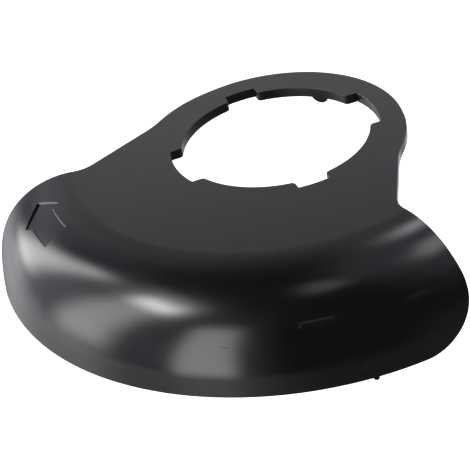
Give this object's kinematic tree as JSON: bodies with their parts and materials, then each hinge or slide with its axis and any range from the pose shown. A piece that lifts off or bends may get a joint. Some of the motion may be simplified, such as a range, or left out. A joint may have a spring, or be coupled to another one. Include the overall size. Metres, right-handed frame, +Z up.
{
  "type": "trimmer blade guard",
  "caption": "Moulded plastic guard for a garden trimmer: a flat ring with a notched bore, a short flared neck and a curved hood that shields the cutting line.",
  "frame": {"origin": "centre of the head ring's bore, on the flat top face", "axes": "+Z up along the bore axis, the hood hangs below the top face on the -Y side, +X to the right seen from in front of the hood"},
  "size_m": [0.2108, 0.1799, 0.0421],
  "materials": {
    "guard_plastic": "satin-gloss black, as moulded, lightly scuffed"
  },
  "bodies": {
    "root": {"blade_guard": "guard_plastic"}
  },
  "joints": []
}
